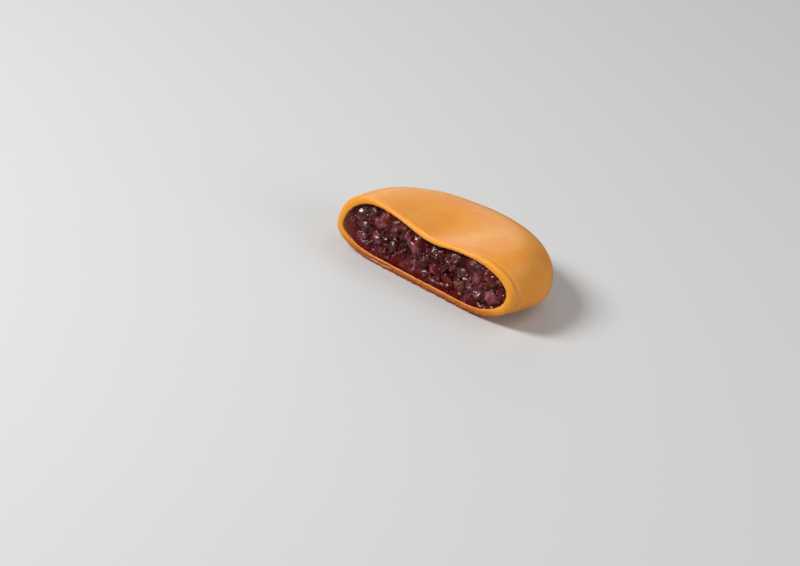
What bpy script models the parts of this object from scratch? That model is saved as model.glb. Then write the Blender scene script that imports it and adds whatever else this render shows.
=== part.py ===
"""Half of a baked bun with a bean filling, cut from top to bottom and lying on its flat underside.

The dough skin is one shell, open at the cut, and the filling runs through it from the cut to the
back. Metres, +Z up. The origin is the middle of the whole bun's underside, +X runs along the cut,
and the cut face looks along -Y.
"""
import math
import random

import bmesh
import bpy
from mathutils import Euler, Matrix, Vector, noise

MM = 0.001

# The whole bun: a low round cake whose top is a thick ring around a dimple.
BUN_RADIUS = 32.0 * MM
BASE_RADIUS = 16.0 * MM  # the flat part of the underside
WIDEST_HEIGHT = 6.1 * MM
CREST_RADIUS = 21.3 * MM
CREST_HEIGHT = 17.6 * MM
DIMPLE_HEIGHT = 14.5 * MM
DIMPLE_FLARE = 0.8  # under 1 the dimple is steep near its middle, over 1 near the crest
LOWER_ROUNDNESS = 2.0  # 2 is a quarter of an ellipse, more is squarer
UPPER_ROUNDNESS = 2.0

# The right end at the cut is fuller at the side and lower on top.
RIGHT_WIDEST_HEIGHT = 9.5 * MM
RIGHT_CREST_RADIUS = 18.5 * MM
RIGHT_CREST_HEIGHT = 16.7 * MM
RIGHT_START = 3.0 * MM  # sets in this far from the middle
RIGHT_FULL = 15.0 * MM  # and is complete here
RIGHT_FADE = 16.0 * MM  # gone this far behind the cut

# How the bun departs from a true round.
DIMPLE_SHIFT = 1.5 * MM  # towards the right end
OVAL = 0.015  # deeper than wide by this share each way
LEAN = 0.01  # the right end is lower by this share
BACK_DROP = 0.24  # the back is lower than the cut by this share

# The cut, a little in front of the middle, so this is slightly more than half.
CUT_Y = -5.5 * MM
LIP_OUTER_ROUND = 0.6 * MM
LIP_INNER_ROUND = 0.3 * MM

# The half rests on a flat spot with four corners: two near the cut and two near the back.
REST_FRONT_HALF = 12.0 * MM
REST_BACK_HALF = 7.5 * MM
REST_WAIST = 1.5 * MM  # its sides are drawn in by this much between the corners
REST_BACK = 14.0 * MM
REST_LIFT = 0.1 * MM  # the underside is this much higher outside it
REST_EDGE = 2.0 * MM  # over this distance
REST_FADE = 1.5 * MM  # and up to this height

# Dough thickness.
SIDE_WALL = 2.2 * MM
FLOOR_WALL = 2.0 * MM
CREST_WALL = 1.4 * MM
DIMPLE_WALL = 1.8 * MM
CREST_INSET = 1.2  # the hollow's crest lies further in by this many side walls

# The filling: paste with whole beans standing out of it at the cut.
FILLING_GAP = 0.3 * MM
PASTE_RECESS = 1.5 * MM  # how far the paste lies behind the cut
PASTE_EDGE_ROUND = 0.9 * MM
PASTE_LUMP = 0.45 * MM
PASTE_LUMP_SIZE = 4.5 * MM
PASTE_FACE = ((0.15, 0), (0.45, 0), (0.75, 0), (0.92, 0), (0.98, 0.3))  # rings: size share, depth share
BEAN_COUNT = 38
BEAN_LENGTH = 6.6 * MM
BEAN_WIDTH = 5.0 * MM
BEAN_THICKNESS = 4.6 * MM
BEAN_SPREAD = 0.12  # each size varies by this share
BEAN_SEGMENTS = 10
BEAN_RINGS = 7
BEAN_ROOM = 4.7 * MM  # distance that the beans keep from each other
BEAN_MARGIN = 2.6 * MM  # distance that a bean's middle keeps from the dough
BEAN_PROUD = 0.4 * MM  # a bean's front stands up to this far out of the cut
BEAN_RECESS = 0.8 * MM  # or lies up to this far behind it
BEAN_REACH = 5.0 * MM  # how far behind the cut the beans are kept clear of the dough
SETTLE_ROUNDS = 160
CLEAR_ROUNDS = 3
SEED = 11

# Mesh density.
HALF_LOOP = 32  # segments from the middle of the underside to the middle of the top
PROFILE_STEPS = 60
OUTER_RINGS = 19
INNER_RINGS = 12
LIP_STEPS = 2
BACK_STOP = 0.05 * MM  # the last ring stays this far from the very back

SKIN_COLOUR = (0.72, 0.32, 0.085, 1.0)
SKIN_ROUGHNESS = 0.55
FILLING_COLOUR = (0.075, 0.018, 0.022, 1.0)
FILLING_ROUGHNESS = 0.25


def clear_scene():
    for thing in list(bpy.data.objects):
        bpy.data.objects.remove(thing, do_unlink=True)


def plain_material(name, colour, roughness):
    material = bpy.data.materials.new(name)
    material.use_nodes = True
    shader = material.node_tree.nodes["Principled BSDF"]
    shader.inputs["Base Color"].default_value = colour
    shader.inputs["Roughness"].default_value = roughness
    shader.inputs["Metallic"].default_value = 0.0
    return material


def form(side=0.0, floor=0.0, crest=0.0, dimple=0.0):
    """The bun's driving sizes, with so much dough taken off at the side, floor, crest and dimple."""
    return {
        "radius": BUN_RADIUS - side,
        "floor": floor,
        "base_radius": BASE_RADIUS,
        "widest_height": WIDEST_HEIGHT + (floor - crest) / 2,
        "crest_radius": CREST_RADIUS - side * CREST_INSET,
        "crest_height": CREST_HEIGHT - crest,
        "dimple_height": DIMPLE_HEIGHT - dimple,
    }


def right_form(sizes):
    """The driving sizes as the right end has them at the cut."""
    return {
        **sizes,
        "widest_height": sizes["widest_height"] + RIGHT_WIDEST_HEIGHT - WIDEST_HEIGHT,
        "crest_radius": sizes["crest_radius"] + RIGHT_CREST_RADIUS - CREST_RADIUS,
        "crest_height": sizes["crest_height"] + RIGHT_CREST_HEIGHT - CREST_HEIGHT,
    }


def profile(sizes):
    """Radius, height and share of the dimple's shift, from the underside's middle to the top's."""
    radius, floor = sizes["radius"], sizes["floor"]
    rise = sizes["widest_height"] - floor
    points = [(0.0, floor, 0.0)]
    for step in range(PROFILE_STEPS + 1):
        angle = math.pi / 2 * step / PROFILE_STEPS
        out = math.sin(angle) ** (2 / LOWER_ROUNDNESS)
        up = 1 - math.cos(angle) ** (2 / LOWER_ROUNDNESS)
        reach = sizes["base_radius"] + (radius - sizes["base_radius"]) * out
        points.append((reach, floor + rise * up, 0.0))
    for step in range(1, PROFILE_STEPS + 1):
        angle = math.pi / 2 * step / PROFILE_STEPS
        out = max(math.cos(angle), 0.0) ** (2 / UPPER_ROUNDNESS)
        up = math.sin(angle) ** (2 / UPPER_ROUNDNESS)
        reach = sizes["crest_radius"] + (radius - sizes["crest_radius"]) * out
        height = sizes["widest_height"] + (sizes["crest_height"] - sizes["widest_height"]) * up
        points.append((reach, height, 1 - (reach / radius) ** 2))
    for step in range(1, PROFILE_STEPS + 1):
        share = 1 - step / PROFILE_STEPS
        bowl = 0.5 - 0.5 * math.cos(math.pi * share**DIMPLE_FLARE)
        reach = sizes["crest_radius"] * share
        height = sizes["dimple_height"] + (sizes["crest_height"] - sizes["dimple_height"]) * bowl
        points.append((reach, height, 1 - (reach / radius) ** 2))
    return points


def rise(value, start, end):
    """0 at the start, 1 at the end, and a smooth rise between them."""
    share = min(max((value - start) / (end - start), 0.0), 1.0)
    return share * share * (3 - 2 * share)


def right_profile(sizes, y):
    """The profile on the right at depth y, which has a shape of its own near the cut."""
    near = 1 - rise(y - CUT_Y, 0.0, RIGHT_FADE)
    points = []
    for usual, own in zip(profile(sizes), profile(right_form(sizes))):
        half_width = math.sqrt(max(usual[0] ** 2 - (y / (1 + OVAL)) ** 2, 0.0))
        share = near * rise(half_width, RIGHT_START, RIGHT_FULL)
        points.append(tuple(a + (b - a) * share for a, b in zip(usual, own)))
    return points


def crossing(before, after, y):
    """The profile point between two whose ring just touches depth y."""
    clear_before = clearance(before, y)
    part = clear_before / (clear_before - clearance(after, y))
    return [low + (high - low) * part for low, high in zip(before, after)]


def clearance(point, y):
    """How far the ring of a profile point reaches past depth y."""
    return point[0] - abs(y) / (1 + OVAL)


def side_of_section(sizes, y, side):
    """One side of the section at depth y, from the middle of the underside to the middle of the top."""
    points = right_profile(sizes, y) if side > 0 else profile(sizes)
    depth = y / (1 + OVAL)
    kept = []
    for before, after in zip([None] + points[:-1], points):
        inside = clearance(after, y) > 0
        if before and inside != (clearance(before, y) > 0):
            kept.append((0.0, *crossing(before, after, y)[1:]))
        if inside:
            kept.append((math.sqrt(after[0] ** 2 - depth**2), after[1], after[2]))
    line = []
    for half_width, height, share in kept:
        x = DIMPLE_SHIFT * share + side * half_width * (1 - OVAL)
        drop = LEAN * x / BUN_RADIUS + BACK_DROP * (max(y, 0.0) / BUN_RADIUS) ** 2
        line.append(Vector((x, y, height * (1 - drop))))
    return line


def evenly(line, steps):
    """The line's points taken again at equal distances along it."""
    run = [0.0]
    for before, after in zip(line, line[1:]):
        run.append(run[-1] + (after - before).length)
    points = []
    place = 0
    for step in range(steps + 1):
        want = run[-1] * step / steps
        while place < len(line) - 2 and run[place + 1] < want:
            place += 1
        length = max(run[place + 1] - run[place], 1e-12)
        points.append(line[place].lerp(line[place + 1], min((want - run[place]) / length, 1.0)))
    return points


def section(sizes, y):
    """The closed outline at depth y: up the right side, then down the left."""
    right = evenly(side_of_section(sizes, y, 1), HALF_LOOP)
    left = evenly(side_of_section(sizes, y, -1), HALF_LOOP)
    return right + left[-2:0:-1]


def sections(sizes, first_y, count):
    """Outlines from first_y to the back, closer together where the surface turns in."""
    back = sizes["radius"] * (1 + OVAL) - BACK_STOP
    return [
        section(sizes, first_y + (back - first_y) * math.sin(math.pi / 2 * step / (count - 1)))
        for step in range(count)
    ]


def lip(outer, inner, outer_round, inner_round):
    """The rounded edge of the dough at the cut, from the outer outline over to the inner one."""
    rings = []
    for step in range(1, LIP_STEPS + 1):
        angle = math.pi / 2 * step / LIP_STEPS
        inward, forward = outer_round * (1 - math.cos(angle)), outer_round * math.sin(angle)
        rings.append(moved(outer, inner, inward, forward))
    for step in range(LIP_STEPS):
        angle = math.pi / 2 * (1 - step / LIP_STEPS)
        inward, forward = inner_round * (1 - math.cos(angle)), inner_round * math.sin(angle)
        rings.append(moved(inner, outer, inward, forward))
    return rings


def moved(outline, towards, distance, forward):
    """The outline moved towards another by a distance, and forward to the cut."""
    ring = []
    for point, goal in zip(outline, towards):
        way = Vector((goal.x - point.x, 0, goal.z - point.z)).normalized()
        ring.append(point + way * distance - Vector((0, forward, 0)))
    return ring


def loft(name, rings):
    """A closed body: one ring extruded through the places of all the others, with flat ends."""
    mesh = bmesh.new()
    bmesh.ops.create_circle(mesh, segments=len(rings[0]), radius=BUN_RADIUS)
    mesh.verts.ensure_lookup_table()
    ring, edges = list(mesh.verts), list(mesh.edges)
    bmesh.ops.edgeloop_fill(mesh, edges=edges)
    for vert, place in zip(ring, rings[0]):
        vert.co = place
    for outline in rings[1:]:
        made = bmesh.ops.extrude_edge_only(mesh, edges=edges)["geom"]
        fresh = {item for item in made if isinstance(item, bmesh.types.BMVert)}
        ring = [
            next(edge.other_vert(vert) for edge in vert.link_edges if edge.other_vert(vert) in fresh)
            for vert in ring
        ]
        edges = [
            item
            for item in made
            if isinstance(item, bmesh.types.BMEdge) and all(vert in fresh for vert in item.verts)
        ]
        for vert, place in zip(ring, outline):
            vert.co = place
    bmesh.ops.edgeloop_fill(mesh, edges=edges)
    bmesh.ops.recalc_face_normals(mesh, faces=mesh.faces)
    return finish(name, mesh, bpy.context.scene.collection)


def finish(name, mesh, home):
    """The object of a finished mesh, in its collection."""
    data = bpy.data.meshes.new(name)
    mesh.to_mesh(data)
    mesh.free()
    data.shade_smooth()
    thing = bpy.data.objects.new(name, data)
    home.objects.link(thing)
    return thing


def rest_on_corners(outlines):
    """Lifts the underside by a hair outside its four-cornered flat spot, so that it lies still."""
    front = outlines[0][0].y
    for outline in outlines:
        for point in outline:
            along = (point.y - front) / (REST_BACK - front)
            half_width = REST_FRONT_HALF + (REST_BACK_HALF - REST_FRONT_HALF) * along
            half_width -= REST_WAIST * 4 * along * (1 - along)
            outside = max(abs(point.x) - half_width, point.y - REST_BACK, 0.0)
            fade = max(1 - point.z / REST_FADE, 0.0)
            point.z += REST_LIFT * min(outside / REST_EDGE, 1.0) * fade


def make_skin():
    outside = form()
    inside = form(SIDE_WALL, FLOOR_WALL, CREST_WALL, DIMPLE_WALL)
    outer = sections(outside, CUT_Y + LIP_OUTER_ROUND, OUTER_RINGS)
    rest_on_corners(outer)
    inner = sections(inside, CUT_Y + LIP_INNER_ROUND, INNER_RINGS)
    rings = outer[::-1] + lip(outer[0], inner[0], LIP_OUTER_ROUND, LIP_INNER_ROUND) + inner
    skin = loft("skin", rings)
    skin.data.materials.append(plain_material("baked_dough", SKIN_COLOUR, SKIN_ROUGHNESS))


def shrunk(outline, share, y):
    """The outline drawn in towards its middle and set at depth y, uneven as paste is."""
    middle = sum(outline, Vector()) / len(outline)
    ring = []
    for point in outline:
        spot = middle.lerp(point, share)
        lump = noise.noise(spot / PASTE_LUMP_SIZE) * PASTE_LUMP
        ring.append(Vector((spot.x, y + lump * (1 - share**4), spot.z)))
    return ring


def make_paste(filling_form):
    front = CUT_Y + PASTE_RECESS
    body = sections(filling_form, front + PASTE_EDGE_ROUND, INNER_RINGS)
    edge = body[0]
    face = [shrunk(edge, share, front + PASTE_EDGE_ROUND * depth) for share, depth in PASTE_FACE]
    return loft("filling", face + body)


def room_inside(spot, outline):
    """How deep a spot lies inside an outline, and the way to the outline's nearest point."""
    nearest, best = None, None
    crossings = 0
    for start, end in zip(outline, outline[1:] + outline[:1]):
        run = end - start
        along = max(0.0, min(1.0, (spot - start).dot(run) / run.length_squared))
        foot = start + run * along
        gap = (spot - foot).length
        if best is None or gap < best:
            nearest, best = foot, gap
        if (start.y > spot.y) != (end.y > spot.y):
            if spot.x < start.x + (spot.y - start.y) / (end.y - start.y) * (end.x - start.x):
                crossings += 1
    way = (nearest - spot).normalized()
    return (best, way) if crossings % 2 else (-best, -way)


def bean_spots(outline, rng):
    """Places for the beans across the cut: strewn at random, then pushed apart until they have room."""
    low = Vector((min(p.x for p in outline), min(p.y for p in outline)))
    high = Vector((max(p.x for p in outline), max(p.y for p in outline)))
    spots = []
    while len(spots) < BEAN_COUNT:
        spot = Vector((rng.uniform(low.x, high.x), rng.uniform(low.y, high.y)))
        if room_inside(spot, outline)[0] > 0:
            spots.append(spot)
    for _ in range(SETTLE_ROUNDS):
        for one, spot in enumerate(spots):
            push = Vector((0.0, 0.0))
            for other, neighbour in enumerate(spots):
                apart = spot - neighbour
                if one != other and apart.length < BEAN_ROOM:
                    push += apart.normalized() * (BEAN_ROOM - apart.length) / 2
            spot += push
            room, way = room_inside(spot, outline)
            if room < BEAN_MARGIN:
                spot -= way * (BEAN_MARGIN - room)
    return spots


def clear_of_dough(spot, points, outlines):
    """The spot moved in until none of the bean's points passes an outline."""
    for _ in range(CLEAR_ROUNDS):
        for point in points:
            for outline in outlines:
                room, way = room_inside(spot + Vector((point.x, point.z)), outline)
                if room < 0:
                    spot = spot + way * room
    return spot


def make_bean(number, spot, rng, outlines, home):
    mesh = bmesh.new()
    bmesh.ops.create_uvsphere(
        mesh, u_segments=BEAN_SEGMENTS, v_segments=BEAN_RINGS, radius=0.5
    )
    means = (BEAN_LENGTH, BEAN_WIDTH, BEAN_THICKNESS)
    sizes = [mean * rng.uniform(1 - BEAN_SPREAD, 1 + BEAN_SPREAD) for mean in means]
    turn = Euler([rng.uniform(0, math.pi) for _ in range(3)]).to_matrix().to_4x4()
    bmesh.ops.transform(mesh, matrix=turn @ Matrix.Diagonal((*sizes, 1.0)), verts=mesh.verts)
    front = CUT_Y + rng.uniform(-BEAN_PROUD, BEAN_RECESS)
    depth = front - min(vert.co.y for vert in mesh.verts)
    spot = clear_of_dough(spot, [vert.co for vert in mesh.verts], outlines)
    bmesh.ops.translate(mesh, vec=(spot.x, depth, spot.y), verts=mesh.verts)
    finish(f"bean_{number}", mesh, home)


def fuse(body, home):
    """Joins every object of a collection to the body by one Boolean, and removes them."""
    union = body.modifiers.new("beans", "BOOLEAN")
    union.operation = "UNION"
    union.operand_type = "COLLECTION"
    union.collection = home
    union.solver = "EXACT"
    graph = bpy.context.evaluated_depsgraph_get()
    joined = bpy.data.meshes.new_from_object(body.evaluated_get(graph))
    body.modifiers.clear()
    body.data = joined
    for bean in list(home.objects):
        bpy.data.objects.remove(bean, do_unlink=True)
    bpy.data.collections.remove(home)


def make_filling():
    filling_form = form(
        SIDE_WALL + FILLING_GAP,
        FLOOR_WALL + FILLING_GAP,
        CREST_WALL + FILLING_GAP,
        DIMPLE_WALL + FILLING_GAP,
    )
    paste = make_paste(filling_form)
    rng = random.Random(SEED)
    outlines = [
        [Vector((point.x, point.z)) for point in section(filling_form, y)]
        for y in (CUT_Y, CUT_Y + BEAN_REACH)
    ]
    home = bpy.data.collections.new("beans")
    bpy.context.scene.collection.children.link(home)
    for number, spot in enumerate(bean_spots(outlines[0], rng)):
        make_bean(number, spot, rng, outlines, home)
    fuse(paste, home)
    paste.data.materials.append(plain_material("bean_paste", FILLING_COLOUR, FILLING_ROUGHNESS))


clear_scene()
make_skin()
make_filling()
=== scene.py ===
import math
import random

import bmesh
import bpy
from mathutils import Euler, Matrix, Vector, noise


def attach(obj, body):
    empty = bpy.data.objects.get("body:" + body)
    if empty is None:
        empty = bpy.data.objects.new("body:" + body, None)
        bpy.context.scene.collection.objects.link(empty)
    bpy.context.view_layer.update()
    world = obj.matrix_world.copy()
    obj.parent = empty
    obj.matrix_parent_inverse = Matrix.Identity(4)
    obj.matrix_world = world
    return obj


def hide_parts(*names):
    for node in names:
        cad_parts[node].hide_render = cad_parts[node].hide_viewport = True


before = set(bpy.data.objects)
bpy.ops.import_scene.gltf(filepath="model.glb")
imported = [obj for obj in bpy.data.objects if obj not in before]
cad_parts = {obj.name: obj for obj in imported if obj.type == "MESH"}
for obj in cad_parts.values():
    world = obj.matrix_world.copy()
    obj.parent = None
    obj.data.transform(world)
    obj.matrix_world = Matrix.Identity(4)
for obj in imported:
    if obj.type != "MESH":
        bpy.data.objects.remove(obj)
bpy.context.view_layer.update()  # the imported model, which every piece below is built around

# Pieces are modelled in millimetres and brought down to metres when they are finished.
millimetre = 0.001

shot = {
    "azimuth": 37.666,  # degrees, how far the camera stands round to the right of the cut
    "elevation": 25.319,
    "roll": 9.478,
    "distance": 0.93795,  # metres from the origin, along the line of sight
    "originRight": 0.0085,  # how far the origin lies right of and above the middle of the view
    "originUp": 0.00025,
    "focalLength": 157.5,
    "sensorWidth": 36.0,
    "clipStart": 0.01,
}


def addCamera():
    azimuth, elevation, roll = (math.radians(shot[name]) for name in ("azimuth", "elevation", "roll"))
    forward = Vector((-math.sin(azimuth), math.cos(azimuth), 0)) * math.cos(elevation)
    forward.z = -math.sin(elevation)
    level = Vector((math.cos(azimuth), math.sin(azimuth), 0))
    upright = level.cross(forward)
    right = level * math.cos(roll) + upright * math.sin(roll)
    up = upright * math.cos(roll) - level * math.sin(roll)
    lens = bpy.data.cameras.new("camera")
    lens.lens = shot["focalLength"]
    lens.sensor_width = shot["sensorWidth"]
    lens.clip_start = shot["clipStart"]
    camera = bpy.data.objects.new("camera", lens)
    place = -(right * shot["originRight"] + up * shot["originUp"] + forward * shot["distance"])
    turn = Matrix((right, up, -forward)).transposed().to_4x4()
    camera.matrix_world = Matrix.Translation(place) @ turn
    bpy.context.scene.collection.objects.link(camera)
    bpy.context.scene.camera = camera
    return level, forward


viewLevel, viewForward = addCamera()
print("camera set")


# The form of the whole bun, which the skin and the filling share. Millimetres.
bun = {
    "radius": 32.0,
    "baseRadius": 16.0,  # the flat part of the underside
    "widestHeight": 6.1,
    "crestRadius": 21.3,
    "crestHeight": 17.6,
    "dimpleHeight": 14.5,
    "dimpleFlare": 0.8,  # below 1 for a narrower dimple
    "rightWidestHeight": 9.5,  # the right end has a shape of its own near the cut
    "rightCrestRadius": 18.5,
    "rightCrestHeight": 16.7,
    "rightStart": 3.0,  # it sets in between these two distances from the middle
    "rightFull": 15.0,
    "rightFade": 16.0,  # and is gone this far behind the cut
    "dimpleShift": 1.5,  # towards the right end
    "oval": 0.015,  # longer front to back and shorter left to right, by this share each
    "lean": 0.01,  # how much lower the right end is than the middle, as a share
    "backDrop": 0.24,  # and the back
    "cut": -5.5,  # where it was cut through
    "sideWall": 2.2,
    "floorWall": 2.0,
    "crestWall": 1.4,
    "dimpleWall": 1.8,
    "crestInset": 1.2,  # the hollow's crest lies further in by this many side walls
    "profileSteps": 90,
    "backStop": 0.05,  # the last outline stops this far before the very back
}


def rise(value, low, high):
    # 0 at low, 1 at high, and a smooth rise between them
    share = min(max((value - low) / (high - low), 0.0), 1.0)
    return share * share * (3 - 2 * share)


def bunForm(gap=None):
    # the outside, or with a gap the hollow, made smaller by that gap
    walls = [0.0] * 4
    if gap is not None:
        walls = [bun[name] + gap for name in ("sideWall", "floorWall", "crestWall", "dimpleWall")]
    side, floor, crest, dimple = walls
    return {
        "radius": bun["radius"] - side,
        "floor": floor,
        "widestHeight": bun["widestHeight"] + (floor - crest) / 2,
        "crestRadius": bun["crestRadius"] - side * bun["crestInset"],
        "crestHeight": bun["crestHeight"] - crest,
        "dimpleHeight": bun["dimpleHeight"] - dimple,
    }


def profile(form):
    # reach, height and share of the dimple's shift, from the middle of the underside to that of the top
    steps = bun["profileSteps"]
    rim, base, widest = form["radius"], bun["baseRadius"], form["widestHeight"]
    crestReach, crest, dimple = form["crestRadius"], form["crestHeight"], form["dimpleHeight"]
    points = [(0.0, form["floor"], 0.0)]
    for step in range(steps + 1):
        angle = math.pi / 2 * step / steps
        reach = base + (rim - base) * math.sin(angle)
        points.append((reach, widest - (widest - form["floor"]) * math.cos(angle), 0.0))
    for step in range(1, steps + 1):
        angle = math.pi / 2 * step / steps
        reach = crestReach + (rim - crestReach) * math.cos(angle)
        points.append((reach, widest + (crest - widest) * math.sin(angle), 1 - (reach / rim) ** 2))
    for step in range(1, steps + 1):
        share = 1 - step / steps
        bowl = 0.5 - 0.5 * math.cos(math.pi * share ** bun["dimpleFlare"])
        reach = crestReach * share
        points.append((reach, dimple + (crest - dimple) * bowl, 1 - (reach / rim) ** 2))
    return points


def rightProfile(form, y):
    # the profile on the right, which near the cut goes over to the right end's own shape
    own = {**form}
    for name in ("WidestHeight", "CrestRadius", "CrestHeight"):
        usual = name[0].lower() + name[1:]
        own[usual] = form[usual] + bun["right" + name] - bun[usual]
    near = 1 - rise(y - bun["cut"], 0.0, bun["rightFade"])
    points = []
    for usual, right in zip(profile(form), profile(own)):
        halfWidth = math.sqrt(max(usual[0] ** 2 - (y / (1 + bun["oval"])) ** 2, 0.0))
        share = near * rise(halfWidth, bun["rightStart"], bun["rightFull"])
        points.append(tuple(a + (b - a) * share for a, b in zip(usual, right)))
    return points


def clearance(point, y):
    # how far a point of the profile reaches past the upright slice at y
    return point[0] - abs(y) / (1 + bun["oval"])


def crossing(before, after, y):
    # the point between two of the profile that lies in that slice
    part = clearance(before, y) / (clearance(before, y) - clearance(after, y))
    return [low + (high - low) * part for low, high in zip(before, after)]


def sideOfSection(form, y, side):
    # the right or left half of the outline of that slice, from the bottom to the top
    points = rightProfile(form, y) if side > 0 else profile(form)
    kept = []
    for before, after in zip([None] + points[:-1], points):
        inside = clearance(after, y) > 0
        if before and inside != (clearance(before, y) > 0):
            kept.append((0.0, *crossing(before, after, y)[1:]))
        if inside:
            halfWidth = math.sqrt(after[0] ** 2 - (y / (1 + bun["oval"])) ** 2)
            kept.append((halfWidth, after[1], after[2]))
    line = []
    for halfWidth, height, share in kept:
        x = bun["dimpleShift"] * share + side * halfWidth * (1 - bun["oval"])
        drop = bun["lean"] * x / bun["radius"] + bun["backDrop"] * (max(y, 0.0) / bun["radius"]) ** 2
        line.append(Vector((x, y, height * (1 - drop))))
    return line


def evenly(line, steps):
    # the line's points laid anew at even distances
    run = [0.0]
    for before, after in zip(line, line[1:]):
        run.append(run[-1] + (after - before).length)
    points = []
    place = 0
    for step in range(steps + 1):
        want = run[-1] * step / steps
        while place < len(line) - 2 and run[place + 1] < want:
            place += 1
        length = max(run[place + 1] - run[place], 1e-9)
        points.append(line[place].lerp(line[place + 1], min((want - run[place]) / length, 1.0)))
    return points


def section(form, y, halfLoop):
    # the whole outline of that slice, as a closed ring of points
    right = evenly(sideOfSection(form, y, 1), halfLoop)
    left = evenly(sideOfSection(form, y, -1), halfLoop)
    return right + left[-2:0:-1]


def sections(form, firstY, count, halfLoop):
    # outlines from firstY to the back, closer and closer together
    back = form["radius"] * (1 + bun["oval"]) - bun["backStop"]
    places = [math.sin(math.pi / 2 * step / (count - 1)) for step in range(count)]
    return [section(form, firstY + (back - firstY) * place, halfLoop) for place in places]


def loft(rings, **marks):
    # one ring of points drawn out through the places of all the others; marks are values for each ring
    mesh = bmesh.new()
    bmesh.ops.create_circle(mesh, segments=len(rings[0]), radius=bun["radius"])
    for name in marks:
        mesh.verts.layers.float.new(name)
    layers = [mesh.verts.layers.float[name] for name in marks]
    values = list(zip(*marks.values()))
    ring, edges = list(mesh.verts), list(mesh.edges)
    bmesh.ops.edgeloop_fill(mesh, edges=edges)
    for vert, place in zip(ring, rings[0]):
        vert.co = place
        for layer, value in zip(layers, values[0]):
            vert[layer] = value
    for outline, ringValues in zip(rings[1:], values[1:]):
        made = bmesh.ops.extrude_edge_only(mesh, edges=edges)["geom"]
        fresh = {item for item in made if isinstance(item, bmesh.types.BMVert)}
        ring = [
            next(edge.other_vert(vert) for edge in vert.link_edges if edge.other_vert(vert) in fresh)
            for vert in ring
        ]
        edges = [
            item
            for item in made
            if isinstance(item, bmesh.types.BMEdge) and all(vert in fresh for vert in item.verts)
        ]
        for vert, place in zip(ring, outline):
            vert.co = place
            for layer, value in zip(layers, ringValues):
                vert[layer] = value
    bmesh.ops.edgeloop_fill(mesh, edges=edges)
    bmesh.ops.recalc_face_normals(mesh, faces=mesh.faces)
    mesh.normal_update()
    return mesh


def ridge(value, middle, width):
    # 1 in the middle, and near 0 past the width on both sides
    return math.exp(-(((value - middle) / width) ** 2))


def lumps(spot, size, seed=0.0):
    # a soft random pattern with lumps of about this size, another one for each seed
    return noise.noise(spot / size + Vector((seed, seed * 0.7, -seed)))


def finishPiece(mesh, name, material):
    bmesh.ops.scale(mesh, vec=(millimetre,) * 3, verts=mesh.verts)
    data = bpy.data.meshes.new(name)
    mesh.to_mesh(data)
    mesh.free()
    data.shade_smooth()
    data.materials.append(material)
    piece = bpy.data.objects.new(name, data)
    bpy.context.scene.collection.objects.link(piece)
    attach(piece, "root")
    print(name, len(data.polygons), "faces")
    return piece


# Materials: small helpers that add a few nodes each and give back what comes out of them.
def newMaterial(name):
    material = bpy.data.materials.new(name)
    material.use_nodes = True
    tree = material.node_tree
    return material, tree, tree.nodes["Principled BSDF"]


def plugIn(tree, socket, value):
    # the value is what another node gives, a colour or a number
    if isinstance(value, bpy.types.NodeSocket):
        tree.links.new(value, socket)
    elif isinstance(value, tuple) and len(value) == 3:
        socket.default_value = (*value, 1.0)
    else:
        socket.default_value = value


def grain(tree, size, detail=3.0, roughness=0.5):
    # a noise pattern whose features are about size millimetres wide
    where = tree.nodes.new("ShaderNodeTexCoord")
    pattern = tree.nodes.new("ShaderNodeTexNoise")
    pattern.inputs["Scale"].default_value = 1 / (size * millimetre)
    pattern.inputs["Detail"].default_value = detail
    pattern.inputs["Roughness"].default_value = roughness
    tree.links.new(where.outputs["Object"], pattern.inputs["Vector"])
    return pattern.outputs["Fac"]


def pits(tree, size):
    # a cell pattern, 0 in the middle of each cell
    where = tree.nodes.new("ShaderNodeTexCoord")
    pattern = tree.nodes.new("ShaderNodeTexVoronoi")
    pattern.inputs["Scale"].default_value = 1 / (size * millimetre)
    tree.links.new(where.outputs["Object"], pattern.inputs["Vector"])
    return pattern.outputs["Distance"]


def placeAlong(tree, axis):
    # where a point of the piece lies along X, Y or Z, in metres
    where = tree.nodes.new("ShaderNodeTexCoord")
    split = tree.nodes.new("ShaderNodeSeparateXYZ")
    tree.links.new(where.outputs["Object"], split.inputs["Vector"])
    return split.outputs[axis]


def marked(tree, name, output="Fac"):
    attribute = tree.nodes.new("ShaderNodeAttribute")
    attribute.attribute_name = name
    return attribute.outputs[output]


def between(tree, value, low, high, start=0.0, end=1.0):
    # start below low, end above high, and a smooth change between them
    fit = tree.nodes.new("ShaderNodeMapRange")
    fit.interpolation_type = "SMOOTHSTEP"
    plugIn(tree, fit.inputs["Value"], value)
    for name, number in (("From Min", low), ("From Max", high), ("To Min", start), ("To Max", end)):
        fit.inputs[name].default_value = number
    return fit.outputs["Result"]


def combined(tree, first, second, kind="MULTIPLY"):
    node = tree.nodes.new("ShaderNodeMath")
    node.operation = kind
    plugIn(tree, node.inputs[0], first)
    plugIn(tree, node.inputs[1], second)
    return node.outputs["Value"]


def overPlaces(tree, place, limits, start, end):
    # a smooth change between two places in millimetres
    low, high = (limit * millimetre for limit in limits)
    return between(tree, place, low, high, start, end)


def wavy(tree, place, waves):
    # the place with waves of a size and depth in millimetres, for a border that isn't straight
    size, depth = waves
    return combined(tree, place, combined(tree, grain(tree, size), depth * millimetre), "ADD")


def blended(tree, share, first, second):
    # two colours, all of the first where the share is 0
    node = tree.nodes.new("ShaderNodeMix")
    node.data_type = "RGBA"
    plugIn(tree, node.inputs["Factor"], share)
    plugIn(tree, node.inputs[6], first)  # the colour sockets A and B share their names with others
    plugIn(tree, node.inputs[7], second)
    return node.outputs[2]


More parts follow.
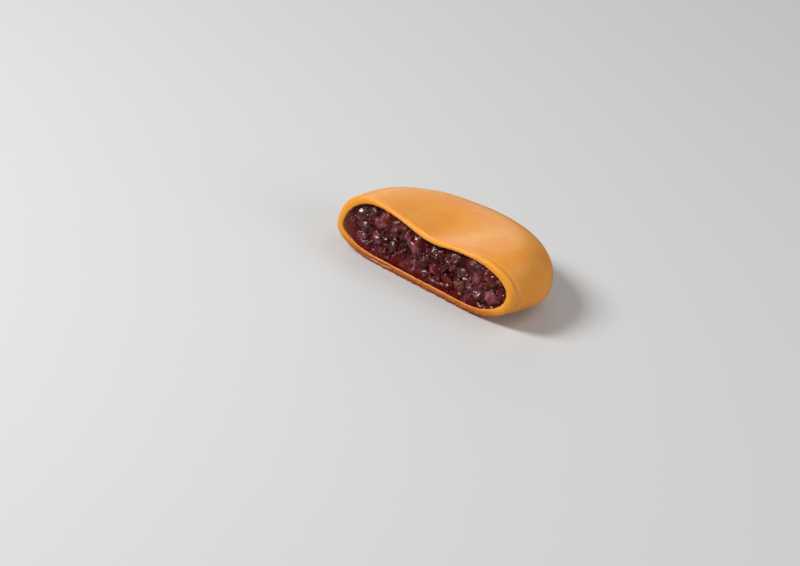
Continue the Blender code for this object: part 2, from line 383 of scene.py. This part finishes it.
def glowUnder(shader, glow):
    # light that goes in and comes out tinted a little way off: its share, tint and way in millimetres
    share, tint, way = glow
    shader.inputs["Subsurface Weight"].default_value = share
    shader.inputs["Subsurface Radius"].default_value = tint
    shader.inputs["Subsurface Scale"].default_value = way * millimetre


def relief(tree, height, depth, below=None):
    # a bump of the given depth in millimetres, laid over another
    node = tree.nodes.new("ShaderNodeBump")
    node.inputs["Strength"].default_value = 1.0
    node.inputs["Distance"].default_value = depth * millimetre
    tree.links.new(height, node.inputs["Height"])
    if below:
        tree.links.new(below, node.inputs["Normal"])
    return node.outputs["Normal"]


# The dough skin.
skin = {
    "halfLoop": 150,
    "outerRings": 108,
    "innerRings": 26,
    "lipOuterRound": 0.6,
    "lipInnerRound": 0.3,
    "lipDome": 0.12,  # how far the middle of the lip stands forward
    "lipSteps": 5,
    "lipFaceSteps": 6,
    "cutFade": (0.5, 1.5, 0.7),  # round the edge the cut's colour fades over this way, from this share
    "broadLumps": (11.0, 0.2),  # size and depth
    "smallLumps": (4.0, 0.05),
    "beadPlace": 0.7,  # a bead behind the cut edge
    "beadWidth": 0.8,
    "beadHeight": 0.3,
    "beadMoreLeft": (0.3, 20.0, 28.0),  # so much higher, gained between these distances from the middle
    "creasePlace": 2.4,  # and a shallow crease behind the bead
    "creaseWidth": 0.75,
    "creaseDepth": 0.3,
    "creaseMoreRight": (0.3, 6.0, 20.0),
    "swell": (9.0, 0.6, 0.8),  # bead and crease swell in a pattern of this size, round a mean, by a range
    "reliefFrom": (0.2, 2.5),  # the outside's relief sets in between these heights
    "reliefTo": (0.5, 1.0),  # and ends between these shares of the cut's colour
    "crumbSize": 0.7,
    "crumbDepth": 0.1,
    "crustHeight": 1.6,  # the dough is rougher below this height
    "crustBlend": 0.4,  # give or take this share of it
    "crustCrumbDepth": 0.3,
    "crackHeight": 1.15,
    "crackWaves": (2.5, 0.25),  # size and depth
    "crackWidth": 0.2,
    "crackDepth": 0.55,
    "crackLeft": (-27.0, -24.0),  # it opens over this stretch
    "crackRight": (-6.0, -10.0),  # and closes over this one
    "crackGaps": (1.8, -0.3, 0.2),  # size of its gaps, and the values over which they open
    # colours, with heights in millimetres
    "golden": (0.75, 0.315, 0.04),
    "amber": (0.74, 0.265, 0.025),
    "blotches": (7.0, 0.35, 0.65),  # size of the amber blotches, and the values over which they fade in
    "mottle": (1.3, 0.3, 0.7, 0.35),  # the same for smaller ones, and how amber they get
    "browned": (0.62, 0.13, 0.004),
    "brownedHeights": (1.5, 7.5),
    "brownedMost": 0.75,
    "brownedWaves": (5.0, 4.0),
    "cutDough": (0.86, 0.33, 0.02),
    "cutLow": (0.5, 0.12, 0.006),  # the cut dough near the underside
    "cutLowHeights": (1.0, 5.5),
    "cutEdgeHighlight": (0.74, 0.28, 0.04),  # a painted highlight on the inner edge of the cut dough
    "cutPaleAcross": (0.62, 0.85),  # shares of the way across the wall
    "cutPaleHeights": (4.0, 9.0),
    "cutPaleShares": (0.8, 0.15),  # low down and high up
    "crust": (0.34, 0.065, 0.004),
    "crustHeights": (1.0, 2.3),
    "crustMost": 0.9,
    "crustWaves": (1.2, 1.2),
    "sheen": (2.5, 0.3, 0.7, 0.41, 0.47),  # size of its patches, values over which they change, roughness
    "specular": 0.45,
    "glow": (0.15, (1.0, 0.4, 0.15), 1.5),
    "pores": (0.55, 0.35, 0.012),  # spacing, width as a share of it, and depth
    "fineGrain": (0.5, 0.05),  # size and depth
    "coarseGrain": (1.8, 0.06),
}


def lipRings(outer, inner):
    # the rounded edge of the dough at the cut, from the outer outline over to the inner one
    outerRound, innerRound = skin["lipOuterRound"], skin["lipInnerRound"]
    line = []  # share of the wall's free width, fixed way in, and way forward
    for step in range(1, skin["lipSteps"] + 1):
        angle = math.pi / 2 * step / skin["lipSteps"]
        line.append((0.0, outerRound * (1 - math.cos(angle)), outerRound * math.sin(angle)))
    for step in range(1, skin["lipFaceSteps"]):
        share = step / skin["lipFaceSteps"]
        line.append((share, outerRound, outerRound + skin["lipDome"] * math.sin(math.pi * share)))
    for step in range(skin["lipSteps"]):
        angle = math.pi / 2 * (1 - step / skin["lipSteps"])
        inward = outerRound + innerRound * math.cos(angle)
        line.append((1.0, inward, outerRound - innerRound * (1 - math.sin(angle))))
    rings = []
    for share, fixed, forward in line:
        ring = []
        for point, goal in zip(outer, inner):
            way = Vector((goal.x - point.x, 0, goal.z - point.z))
            inward = fixed + share * (way.length - outerRound - innerRound)
            place = point + way.normalized() * inward
            ring.append(Vector((place.x, outer[0].y - forward, place.z)))
        rings.append(ring)
    return rings


def outsideRelief(spot):
    # how far the outside of the dough stands out at a spot
    size, depth = skin["broadLumps"]
    out = lumps(spot, size) * depth
    size, depth = skin["smallLumps"]
    out += lumps(spot, size, seed=3.0) * depth
    behind = spot.y - bun["cut"]
    size, mean, swing = skin["swell"]
    swell = mean + swing * lumps(spot, size, seed=5.0)
    more, start, full = skin["beadMoreLeft"]
    bead = skin["beadHeight"] + more * rise(-spot.x, start, full)
    out += ridge(behind, skin["beadPlace"], skin["beadWidth"]) * bead * swell
    more, start, full = skin["creaseMoreRight"]
    crease = skin["creaseDepth"] + more * rise(spot.x, start, full)
    return out - ridge(behind, skin["creasePlace"], skin["creaseWidth"]) * crease * swell


def crumbRelief(spot):
    # how far the crumb of the cut dough stands out, more in the crust along the bottom
    blend = skin["crustBlend"]
    low = 1 - rise(spot.z, skin["crustHeight"] * (1 - blend), skin["crustHeight"] * (1 + blend))
    crumb = lumps(spot, skin["crumbSize"], seed=9.0) + lumps(spot, skin["crumbSize"] / 2, seed=2.0) / 2
    return crumb * (skin["crumbDepth"] + (skin["crustCrumbDepth"] - skin["crumbDepth"]) * low)


def crackAt(spot):
    # how deep the crack in the crust is at a spot
    place = Vector((spot.x, 0, 0))
    size, depth = skin["crackWaves"]
    line = skin["crackHeight"] + depth * lumps(place, size, seed=4.0)
    size, shut, wide = skin["crackGaps"]
    along = rise(spot.x, *skin["crackLeft"]) * rise(spot.x, *skin["crackRight"])
    along *= (1 + rise(lumps(place, size, seed=8.0), shut, wide)) / 2
    return ridge(spot.z, line, skin["crackWidth"]) * along * skin["crackDepth"]


def shapeSkin(mesh):
    mark = mesh.verts.layers.float["cutFace"]
    moves = []
    for vert in mesh.verts:
        spot = vert.co
        outside = rise(spot.z, *skin["reliefFrom"]) * (1 - rise(vert[mark], *skin["reliefTo"]))
        move = vert.normal * outsideRelief(spot) * outside
        if vert[mark] > 0:
            move += vert.normal * (crumbRelief(spot) * vert[mark])
            move += Vector((0, 1, 0)) * crackAt(spot) * vert[mark]
        moves.append(move)
    for vert, move in zip(mesh.verts, moves):
        vert.co += move
        vert.co.z = max(vert.co.z, 0.0)


def doughMaterial():
    material, tree, shader = newMaterial("bakedDough")
    height = placeAlong(tree, "Z")
    cutFace = marked(tree, "cutFace")
    size, start, full = skin["blotches"]
    colour = blended(tree, between(tree, grain(tree, size), start, full), skin["golden"], skin["amber"])
    size, start, full, most = skin["mottle"]
    mottle = between(tree, grain(tree, size, detail=4.0, roughness=0.6), start, full, 0.0, most)
    colour = blended(tree, mottle, colour, skin["amber"])
    low = wavy(tree, height, skin["brownedWaves"])
    low = overPlaces(tree, low, skin["brownedHeights"], skin["brownedMost"], 0.0)
    colour = blended(tree, low, colour, skin["browned"])
    low = overPlaces(tree, height, skin["cutLowHeights"], 1.0, 0.0)
    cutColour = blended(tree, low, skin["cutDough"], skin["cutLow"])
    # painted highlight along the inner edge of the cut dough, strongest low down where the rest of the cut
    # is darker
    inner = between(tree, marked(tree, "across"), *skin["cutPaleAcross"])
    inner = combined(tree, inner, overPlaces(tree, height, skin["cutPaleHeights"], *skin["cutPaleShares"]))
    cutColour = blended(tree, inner, cutColour, skin["cutEdgeHighlight"])
    low = wavy(tree, height, skin["crustWaves"])
    low = overPlaces(tree, low, skin["crustHeights"], skin["crustMost"], 0.0)
    cutColour = blended(tree, low, cutColour, skin["crust"])
    tree.links.new(blended(tree, cutFace, colour, cutColour), shader.inputs["Base Color"])
    size, *sheen = skin["sheen"]
    tree.links.new(between(tree, grain(tree, size), *sheen), shader.inputs["Roughness"])
    shader.inputs["Specular IOR Level"].default_value = skin["specular"]
    glowUnder(shader, skin["glow"])
    size, width, depth = skin["pores"]
    pores = relief(tree, between(tree, pits(tree, size), 0.0, width), depth)
    size, depth = skin["fineGrain"]
    fine = relief(tree, grain(tree, size, detail=5.0, roughness=0.6), depth, pores)
    size, depth = skin["coarseGrain"]
    tree.links.new(relief(tree, grain(tree, size), depth, fine), shader.inputs["Normal"])
    return material


def makeSkin():
    outer = sections(bunForm(), bun["cut"] + skin["lipOuterRound"], skin["outerRings"], skin["halfLoop"])
    inner = sections(bunForm(0.0), bun["cut"] + skin["lipInnerRound"], skin["innerRings"], skin["halfLoop"])
    lip = lipRings(outer[0], inner[0])
    start, end, most = skin["cutFade"]
    fading = [most - most * rise(ring[0].y - bun["cut"], start, end) for ring in outer]
    cutFace = fading[::-1] + [1.0] * (len(lip) + len(inner))
    across = [0.0] * len(outer) + [step / len(lip) for step in range(len(lip))] + [1.0] * len(inner)
    mesh = loft(outer[::-1] + lip + inner, cutFace=cutFace, across=across)
    shapeSkin(mesh)
    piece = finishPiece(mesh, "doughSkin", doughMaterial())
    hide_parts("skin")


makeSkin()


# The filling: whole and crushed beans, with sweet paste drawn up round them.
filling = {
    "gap": 0.3,  # kept clear of the dough by the beans
    "tones": {
        "plum": (0.25, 0.065, 0.085),
        "wine": (0.155, 0.008, 0.008),
        "brown": (0.12, 0.03, 0.019),
        "slate": (0.075, 0.027, 0.027),
    },
    "inside": (0.3, 0.085, 0.075),  # where a bean is split
    # rosy patches: partly the beans' own pinker tone, partly a painted sheen where broad glossy highlights
    # would lie
    "rosySheen": (0.46, 0.18, 0.2),
    "winePatches": (0.9, 0.35, 0.7, 0.5),  # size, the values over which they fade in, and how far
    "rosyPatches": (2.4, 0.52, 0.68),
    "slatePatches": (3.7, 0.54, 0.64),
    # painted shade in the recesses behind the cut: the colour it darkens towards
    "paintedRecessShade": (0.025, 0.001, 0.0005),
    "deep": (0.3, 1.7),  # painted shade darkens the colour, and the gloss fades, between these distances behind the cut
    "deepMost": 0.85,
    "dull": (3.5, 5.8),  # the gloss rises from a share to its full between these heights
    "dullShare": 0.2,
    "roughness": 0.5,
    "coatRoughness": 0.11,
    "index": 1.6,
    "glow": (0.25, (1.0, 0.2, 0.2), 1.2),
    "bumps": ((2.5, 0.45), (0.9, 0.035)),  # size and depth
    "outlineBehind": 2.0,  # the beans keep inside the outline at this distance behind the cut
    "outlineSteps": 40,
    "otherNoise": 50.0,  # each bean takes its dents from the noise up to this far from its middle
}

beans = {
    "length": 6.6,
    "width": 5.0,
    "thickness": 4.6,
    "spread": 0.14,  # width and thickness vary by this share
    "roll": 1.5,  # a bean is turned about its length by up to this, in radians
    "tip": 0.35,  # and one end comes forward
    "proud": 0.3,  # its front stands up to this far out of the cut
    "recess": 0.7,  # or lies up to this far behind it
    "detail": 5,
    "crushedCount": 46,
    "crushedSize": (3.2, 5.6),
    "crushedWidth": (0.7, 0.9),  # as shares of the length
    "crushedThickness": (0.55, 0.8),
    "crushedRecess": (0.2, 1.3),
    "crushedDetail": 4,
    "crush": 0.8,
    "shoulders": 0.2,  # fuller between the middle and the ends
    "bend": 0.16,
    "bendMiddle": 0.35,  # keeps a bent bean in its place
    "dents": (1.9, 0.5, 0.6),  # fineness, depth, and what is added to it in a crushed bean
    "knobs": (4.5, 0.07, 0.08),
    "wrinkles": (2.2, 5.0, 0.12),  # fineness along and round the bean, and depth
    "seamOff": 0.4,  # the seam lies up to this far from the middle of the side
    "seamWidth": 0.16,
    "seamEnds": (0.1, 0.4),
    "splits": (0.0, 0.0, 0.35, 0.55),  # depths of the split along the seam, one drawn for each bean
    "splitShows": 2.2,  # share of the inside's colour for each millimetre of depth
    "shades": (1.5, 0.7),  # fineness and range of light and dark
    "tints": (2.1, 0.5),  # and of grey and red
    "room": 4.3,  # the middles of the crushed beans are pushed this far apart
    "margin": 1.7,  # and kept this far inside the outline
    "settleRounds": 90,
    "settleParts": 3,  # each round undoes one in this many parts of an overlap
    "keepRounds": 3,
    "keepVerts": 60,  # about this many points of each bean are kept inside the outline
    "seed": 24,
    # the beans that show most: x, z, length, turn in the cut, tone
    "chosen": (
        (-23.6, 12.4, 6.0, 35, "slate"),
        (-22.8, 8.9, 6.6, -20, "slate"),
        (-22.6, 5.4, 6.0, 5, "plum"),
        (-26.2, 8.6, 5.0, 80, "brown"),
        (-17.2, 11.8, 6.8, 20, "plum"),
        (-17.3, 6.9, 6.0, -15, "plum"),
        (-12.2, 6.2, 6.4, 70, "slate"),
        (-12.0, 12.4, 6.2, -40, "brown"),
        (-8.6, 11.6, 5.4, 50, "slate"),
        (-4.8, 8.8, 8.0, -10, "plum"),
        (-0.6, 6.9, 5.2, 60, "slate"),
        (1.9, 10.8, 5.6, 20, "brown"),
        (3.4, 6.6, 5.6, -30, "wine"),
        (7.4, 9.6, 6.2, 10, "slate"),
        (7.6, 5.2, 6.0, -5, "wine"),
        (13.0, 10.8, 8.0, 15, "slate"),
        (13.2, 5.6, 5.6, 10, "brown"),
        (18.2, 9.8, 6.2, 85, "plum"),
        (19.0, 5.2, 6.4, -10, "slate"),
        (22.8, 11.0, 6.4, 40, "brown"),
        (23.4, 6.6, 6.2, 25, "plum"),
        (26.0, 8.8, 5.2, 75, "wine"),
        (-19.8, 14.2, 5.0, 20, "slate"),
        (-14.6, 14.6, 4.6, -10, "wine"),
        (-8.8, 14.0, 4.4, 0, "brown"),
        (-3.2, 12.6, 5.4, -15, "wine"),
        (3.6, 12.6, 4.6, 20, "slate"),
        (9.6, 13.0, 4.8, 10, "brown"),
        (16.6, 13.6, 5.0, 0, "slate"),
        (21.6, 13.3, 4.4, -30, "wine"),
    ),
}


def roomInside(spot, outline):
    # how deep a spot lies inside an outline, and the way to the outline
    nearest, best, crossings = None, None, 0
    for start, end in zip(outline, outline[1:] + outline[:1]):
        run = end - start
        along = max(0.0, min(1.0, (spot - start).dot(run) / run.length_squared))
        foot = start + run * along
        gap = (spot - foot).length
        if best is None or gap < best:
            nearest, best = foot, gap
        if (start.y > spot.y) != (end.y > spot.y):
            if spot.x < start.x + (spot.y - start.y) / (end.y - start.y) * (end.x - start.x):
                crossings += 1
    way = (nearest - spot).normalized()
    return (best, way) if crossings % 2 else (-best, -way)


def keptIn(spot, verts, outline):
    # the spot moved in by as much as the verts pass the outline
    for _ in range(beans["keepRounds"]):
        for vert in verts:
            room, way = roomInside(spot + Vector((vert.co.x, vert.co.z)), outline)
            if room < 0:
                spot = spot + way * room
    return spot


def roomForBeans():
    ring = section(bunForm(filling["gap"]), bun["cut"] + filling["outlineBehind"], filling["outlineSteps"])
    return [Vector((point.x, point.z)) for point in ring]


beanOutline = roomForBeans()


def newFillingMesh():
    mesh = bmesh.new()
    return mesh, (mesh.verts.layers.float_color.new("tone"), mesh.verts.layers.float.new("inside"))


def otherNoise(rng):
    # a random step in the noise, so that no two beans have the same dents
    return Vector([rng.uniform(-filling["otherNoise"], filling["otherNoise"]) for _ in range(3)])


def anyTurn(rng):
    return [rng.uniform(0, math.pi) for _ in range(3)]


def dented(kind, way, shift, crush):
    fineness, depth, more = beans[kind]
    return noise.noise(way * fineness + shift) * (depth + more * crush)


def toned(tone, way, shift):
    # the tone at one side of a bean, lighter or darker, greyer or redder
    fineness, swing = beans["shades"]
    shade = 1 + swing * noise.noise(way * fineness + shift * 2)
    fineness, swing = beans["tints"]
    tint = 1 + swing * noise.noise(way * fineness + shift * 3)
    return tone[0] * shade, tone[1] * shade * tint, tone[2] * shade * tint, 1


def addBean(mesh, layers, rng, size, turn, spot, front, tone, detail, crush):
    # gives back where the bean lies, for the paste to draw up round it
    verts = bmesh.ops.create_icosphere(mesh, subdivisions=detail, radius=1.0)["verts"]
    length, width, thickness = size
    shift = otherNoise(rng)
    bend = rng.uniform(0.0, beans["bend"])
    seam = rng.uniform(-beans["seamOff"], beans["seamOff"])
    split = rng.choice(beans["splits"]) * (1 - crush)
    toneLayer, insideLayer = layers
    along, around, wrinkleDepth = beans["wrinkles"]
    for vert in verts:
        way = vert.co.normalized()
        full = 1 + beans["shoulders"] * (way.x * way.x) * (1 - way.x * way.x)
        place = Vector((way.x * length, way.y * width * full, way.z * thickness * full)) / 2
        place.y += bend * length * (way.x * way.x - beans["bendMiddle"])
        out = dented("dents", way, shift, crush) + dented("knobs", way, shift, crush)
        wrinkle = abs(noise.noise(Vector((way.x * along, way.y * around, way.z * around)) + shift))
        groove = ridge(way.y, seam, beans["seamWidth"]) * split * rise(1 - abs(way.x), *beans["seamEnds"])
        vert.co = place + way * (out - wrinkle * wrinkleDepth - groove)
        vert[insideLayer] = min(groove * beans["splitShows"], 1.0)
        vert[toneLayer] = toned(tone, way, shift)
    turned = Euler(turn, "XZY").to_matrix().to_4x4()
    bmesh.ops.transform(mesh, matrix=turned, verts=verts)
    spot = keptIn(spot, verts[:: max(len(verts) // beans["keepVerts"], 1)], beanOutline)
    halfWidth = max(abs(vert.co.x) for vert in verts)
    halfHeight = max(abs(vert.co.z) for vert in verts)
    depth = front - min(vert.co.y for vert in verts)
    bmesh.ops.translate(mesh, vec=(spot.x, depth, spot.y), verts=verts)
    return spot, halfWidth, halfHeight, front, tone


def spreadSpots(taken, count, outline, rng):
    # more spots, strewn at random and pushed apart, while the taken ones stay
    low = Vector((min(point.x for point in outline), min(point.y for point in outline)))
    high = Vector((max(point.x for point in outline), max(point.y for point in outline)))
    spots = []
    while len(spots) < count:
        spot = Vector((rng.uniform(low.x, high.x), rng.uniform(low.y, high.y)))
        if roomInside(spot, outline)[0] > 0:
            spots.append(spot)
    for _ in range(beans["settleRounds"]):
        for spot in spots:
            push = Vector((0.0, 0.0))
            for neighbour in taken + spots:
                apart = spot - neighbour
                if neighbour is not spot and apart.length < beans["room"]:
                    push += apart.normalized() * (beans["room"] - apart.length) / beans["settleParts"]
            spot += push
            inside, way = roomInside(spot, outline)
            if inside < beans["margin"]:
                spot -= way * (beans["margin"] - inside)
    return spots


def wetMaterial(name, patchy):
    # patchy is how far the rosy patches, partly a painted sheen, and the slate patches go
    material, tree, shader = newMaterial(name)
    colour = marked(tree, "tone", "Color")
    size, start, full, most = filling["winePatches"]
    patches = between(tree, grain(tree, size, detail=4.0), start, full, 0.0, most)
    colour = blended(tree, patches, colour, filling["tones"]["wine"])
    # the rosy patches: partly real tone, partly painted sheen
    size, start, full = filling["rosyPatches"]
    patches = between(tree, grain(tree, size, roughness=0.6), start, full, 0.0, patchy)
    colour = blended(tree, patches, colour, filling["rosySheen"])
    size, start, full = filling["slatePatches"]
    patches = between(tree, grain(tree, size, detail=2.0), start, full, 0.0, patchy)
    colour = blended(tree, patches, colour, filling["tones"]["slate"])
    colour = blended(tree, marked(tree, "inside"), colour, filling["inside"])
    # painted shade: deeper behind the cut the colour darkens, and the same share takes the gloss away
    behind = [bun["cut"] + distance for distance in filling["deep"]]
    deep = overPlaces(tree, placeAlong(tree, "Y"), behind, 0.0, filling["deepMost"])
    colour = blended(tree, deep, colour, filling["paintedRecessShade"])
    tree.links.new(colour, shader.inputs["Base Color"])
    shine = overPlaces(tree, placeAlong(tree, "Z"), filling["dull"], filling["dullShare"], 1.0)
    shine = combined(tree, shine, combined(tree, 1.0, deep, "SUBTRACT"))
    tree.links.new(shine, shader.inputs["Coat Weight"])
    shader.inputs["Roughness"].default_value = filling["roughness"]
    shader.inputs["IOR"].default_value = filling["index"]
    shader.inputs["Specular IOR Level"].default_value = 0.0  # all the gloss is in the syrup on top
    shader.inputs["Coat Roughness"].default_value = filling["coatRoughness"]
    shader.inputs["Coat IOR"].default_value = filling["index"]
    glowUnder(shader, filling["glow"])
    normal = None
    for size, depth in filling["bumps"]:
        normal = relief(tree, grain(tree, size, roughness=0.55), depth, normal)
    tree.links.new(normal, shader.inputs["Normal"])
    tree.links.new(normal, shader.inputs["Coat Normal"])
    return material


def makeBeans(material):
    rng = random.Random(beans["seed"])
    tones = filling["tones"]
    whole, layers = newFillingMesh()
    laid = []
    spread, roll, tip, detail = (beans[name] for name in ("spread", "roll", "tip", "detail"))
    for x, z, length, degrees, tone in beans["chosen"]:
        width = beans["width"] * length / beans["length"] * rng.uniform(1 - spread, 1 + spread)
        size = (length, width, beans["thickness"] * rng.uniform(1 - spread, 1 + spread))
        turn = (rng.uniform(-roll, roll), -math.radians(degrees), rng.uniform(-tip, tip))
        front = bun["cut"] + rng.uniform(-beans["proud"], beans["recess"])
        spot = Vector((x, z))
        laid.append(addBean(whole, layers, rng, size, turn, spot, front, tones[tone], detail, crush=0.0))
    finishPiece(whole, "wholeBeans", material)
    crushed, layers = newFillingMesh()
    detail, crush = beans["crushedDetail"], beans["crush"]
    taken = [spot for spot, *_ in laid]
    for spot in spreadSpots(taken, beans["crushedCount"], beanOutline, rng):
        length = rng.uniform(*beans["crushedSize"])
        width = length * rng.uniform(*beans["crushedWidth"])
        size = (length, width, length * rng.uniform(*beans["crushedThickness"]))
        turn = anyTurn(rng)
        front = bun["cut"] + rng.uniform(*beans["crushedRecess"])
        tone = tones[rng.choice(list(tones))]
        laid.append(addBean(crushed, layers, rng, size, turn, spot, front, tone, detail, crush))
    finishPiece(crushed, "crushedBeans", material)
    return laid


syrupyBean = wetMaterial("syrupyBean", patchy=0.6)
laidBeans = makeBeans(syrupyBean)

paste = {
    "gap": -0.15,  # below 0, as the paste sticks to the dough
    "recess": 1.5,  # how far it lies behind the cut
    "flush": 0.25,  # and how far along the bottom and at the left end
    "flushHeights": (2.0, 6.0),  # from the first to the second it goes from flush to its full recess
    "flushLeft": (-29.0, -24.0),
    "flushWaves": (3.0, 1.2),  # size and depth of the waves in that border
    "rightRecess": 0.8,  # at the right end it lies no further back than this
    "rightEnd": (25.0, 28.5),
    "edgeRound": 0.5,
    "halfLoop": 150,
    "bodyRings": 12,
    "faceRings": 76,
    "slack": 0.01,  # for rounding, when the points of its face are picked out
    "lumpSizes": ((4.5, 0.5), (2.3, 0.45), (1.2, 0.08)),  # size and depth of each kind of lump
    "lumpsLow": 0.3,  # along the bottom they have this share of their depth
    "lumpHeights": (2.0, 4.0),
    "climb": 1.1,  # the paste stops this far behind a bean's front
    "climbFrom": 1.3,  # it starts to rise this many half widths from the bean's middle
    "climbTo": 0.8,  # and is up at this many
    "tone": (0.07, 0.003, 0.0015),
    "beanTones": (3.0, 6.0),  # it takes on the beans' tones between these heights
    "paintedGlow": (0.24, 0.055, 0.02),  # a painted glow, where light would come through the dough at both ends
    "warmEnds": (25.8, 28.8),
}


def pasteAt(x, z):
    # how far forward the paste reaches at a place in the cut, and its tone there
    spot = Vector((x, 0, z))
    size, depth = paste["flushWaves"]
    wave = depth * lumps(spot, size, seed=7.0)
    inside = rise(z + wave, *paste["flushHeights"]) * rise(x + wave, *paste["flushLeft"])
    recess = paste["flush"] + (paste["recess"] - paste["flush"]) * inside
    recess += min(paste["rightRecess"] - recess, 0.0) * rise(x, *paste["rightEnd"])
    lump = sum(lumps(spot, size, seed=size) * depth for size, depth in paste["lumpSizes"])
    lump *= paste["lumpsLow"] + (1 - paste["lumpsLow"]) * rise(z, *paste["lumpHeights"])
    front = bun["cut"] + recess - lump
    tone = Vector(paste["tone"])
    weight = 1.0
    for centre, halfWidth, halfHeight, beanFront, beanTone in laidBeans:
        across, up = (x - centre.x) / halfWidth, (z - centre.y) / halfHeight
        away = math.hypot(across, up)
        if away < paste["climbFrom"]:
            climb = rise(-away, -paste["climbFrom"], -paste["climbTo"])
            front += min(beanFront + paste["climb"] - front, 0.0) * climb
            climb *= rise(z, *paste["beanTones"])
            tone += Vector(beanTone) * climb
            weight += climb
    # the painted glow near both ends, for light coming through the dough
    tone = (tone / weight).lerp(Vector(paste["paintedGlow"]), rise(abs(x), *paste["warmEnds"]))
    return front, tone


def makePaste(material):
    form = bunForm(paste["gap"])
    edge = bun["cut"] + paste["recess"] + paste["edgeRound"]
    body = sections(form, edge, paste["bodyRings"], paste["halfLoop"])
    middle = sum(body[0], Vector()) / len(body[0])
    face = []
    for step in range(1, paste["faceRings"]):
        share = math.sin(math.pi / 2 * step / paste["faceRings"])
        face.append([middle.lerp(point, share) for point in body[0]])
    mesh = loft(face + body, inside=[0.0] * (len(face) + len(body)))
    toneLayer = mesh.verts.layers.float_color.new("tone")
    for vert in mesh.verts:
        front, tone = pasteAt(vert.co.x, vert.co.z)
        vert[toneLayer] = (*tone, 1)
        if vert.co.y < edge + paste["slack"]:
            vert.co.y = front
    piece = finishPiece(mesh, "beanPaste", material)
    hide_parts("filling")


makePaste(wetMaterial("syrupyPaste", patchy=0.2))

bits = {
    "count": 170,
    "across": (-29.0, 29.0),
    "heights": (2.0, 16.0),
    "size": (1.0, 2.8),
    "slimness": (0.5, 1.0),  # width and thickness as shares of the length
    "proud": (0.1, 0.6),  # how far a bit stands out of the paste
    "hullShare": 0.4,  # this share of them are torn hulls, long and thin
    "hullSize": (2.0, 4.2),
    "hullThickness": 0.35,
    "hullWidth": (0.25, 0.5),  # as shares of the length
    "hullTurn": ((-0.7, 0.7), (-1.4, 0.3), (-0.6, 0.6)),  # about X, Y and Z, in radians
    "dents": (1.8, 0.7),  # fineness and depth
    "detail": 3,
    "seed": 5,
}


def makeBits(material):
    # crumbs of bean in the paste
    rng = random.Random(bits["seed"])
    tones = filling["tones"]
    mesh, (toneLayer, _) = newFillingMesh()
    fineness, depth = bits["dents"]
    made = 0
    while made < bits["count"]:
        spot = Vector((rng.uniform(*bits["across"]), rng.uniform(*bits["heights"])))
        length = rng.uniform(*bits["size"])
        size = (length, length * rng.uniform(*bits["slimness"]), length * rng.uniform(*bits["slimness"]))
        turn = anyTurn(rng)
        if made < bits["count"] * bits["hullShare"]:
            length = rng.uniform(*bits["hullSize"])
            size = (length, bits["hullThickness"], length * rng.uniform(*bits["hullWidth"]))
            turn = [rng.uniform(*limits) for limits in bits["hullTurn"]]
        if roomInside(spot, beanOutline)[0] < length / 2:
            continue
        front, _ = pasteAt(*spot)
        front -= rng.uniform(*bits["proud"])
        tone = tones[rng.choice(list(tones))]
        verts = bmesh.ops.create_icosphere(mesh, subdivisions=bits["detail"], radius=0.5)["verts"]
        shift = otherNoise(rng)
        for vert in verts:
            dent = 1 + depth * noise.noise(vert.co.normalized() * fineness + shift)
            vert.co = Vector([part * stretch for part, stretch in zip(vert.co, size)]) * dent
            vert[toneLayer] = (*tone, 1)
        bmesh.ops.transform(mesh, matrix=Euler(turn).to_matrix().to_4x4(), verts=verts)
        back = front - min(vert.co.y for vert in verts)
        bmesh.ops.translate(mesh, vec=(spot.x, back, spot.y), verts=verts)
        made += 1
    finishPiece(mesh, "pasteBits", material)


makeBits(syrupyBean)

# The studio: a pale floor, a key light from the left, and weaker ones from above, behind and the right.
studio = {
    "floorSize": 3.0,
    "floorColour": (0.62, 0.62, 0.615),
    "floorRoughness": 0.7,
    "surrounding": (1.0, 1.0, 1.0),
    "surroundingStrength": 0.17,
    "aim": (0.0, 0.01, 0.008),  # the lights face this spot, in metres
    # each light's way from there: to the right, away from the camera and up
    "lights": {
        "key": {"way": (-0.75, -0.12, 0.66), "distance": 0.8, "size": 0.28, "power": 6.4},
        "top": {"way": (0.6, 0.2, 0.9), "distance": 1.0, "size": 0.7, "power": 1.8},
        "back": {"way": (-0.1, 0.95, 0.27), "distance": 1.0, "size": 0.4, "power": 1.0},
        "fill": {"way": (0.8, -0.5, 0.4), "distance": 1.0, "size": 0.5, "power": 3.2},
    },
}


def addLight(name, way, distance, size, power):
    lamp = bpy.data.lights.new(name, "AREA")
    lamp.shape = "SQUARE"
    lamp.size = size
    lamp.energy = power
    light = bpy.data.objects.new(name, lamp)
    back = Vector((viewForward.x, viewForward.y, 0)).normalized()
    towards = (viewLevel * way[0] + back * way[1] + Vector((0, 0, way[2]))).normalized()
    light.location = Vector(studio["aim"]) + towards * distance
    light.rotation_euler = towards.to_track_quat("Z", "Y").to_euler()
    bpy.context.scene.collection.objects.link(light)


def makeStudio():
    floorMesh = bmesh.new()
    bmesh.ops.create_grid(floorMesh, x_segments=1, y_segments=1, size=studio["floorSize"] / 2)
    data = bpy.data.meshes.new("floor")
    floorMesh.to_mesh(data)
    floorMesh.free()
    floor = bpy.data.objects.new("floor", data)
    bpy.context.scene.collection.objects.link(floor)
    material, _, shader = newMaterial("paleFloor")
    shader.inputs["Base Color"].default_value = (*studio["floorColour"], 1)
    shader.inputs["Roughness"].default_value = studio["floorRoughness"]
    data.materials.append(material)
    floor.visible_glossy = False  # it isn't mirrored in the wet filling, which would turn grey
    for name, light in studio["lights"].items():
        addLight(name, **light)
    world = bpy.data.worlds.new("surrounding")
    world.use_nodes = True
    sky = world.node_tree.nodes["Background"]
    sky.inputs["Color"].default_value = (*studio["surrounding"], 1)
    sky.inputs["Strength"].default_value = studio["surroundingStrength"]
    bpy.context.scene.world = world
    bpy.context.scene.view_settings.view_transform = "Standard"


makeStudio()
print("studio set")
